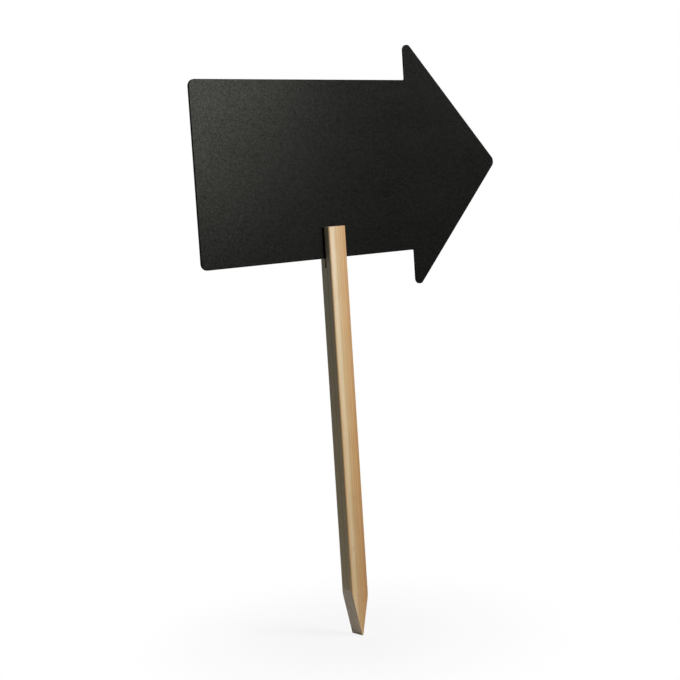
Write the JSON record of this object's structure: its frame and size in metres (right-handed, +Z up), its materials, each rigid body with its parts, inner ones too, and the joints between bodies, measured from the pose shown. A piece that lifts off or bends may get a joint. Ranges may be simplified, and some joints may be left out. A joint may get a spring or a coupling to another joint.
{
  "type": "arrow sign",
  "caption": "Black writing board cut as an arrow, held in a saw slot in the top of a planed wooden stake with a chisel point for pushing into the ground.",
  "frame": {"origin": "centre of the narrow flat at the stake's lower end", "axes": "+Z up along the stake, +X the way the arrow points, -Y towards the reader of the board's front"},
  "size_m": [0.5308, 0.02, 0.7823],
  "materials": {
    "chalkboard_black": "thin hardboard with a matt black chalkboard coating",
    "planed_softwood": "planed bare softwood, sawn at the slot, the top end and the point",
    "zinc_plated_steel": "bright zinc plate"
  },
  "bodies": {
    "root": {"arrow_board": "chalkboard_black", "stake": "planed_softwood", "upper_screw": "zinc_plated_steel", "lower_screw": "zinc_plated_steel"}
  },
  "joints": []
}
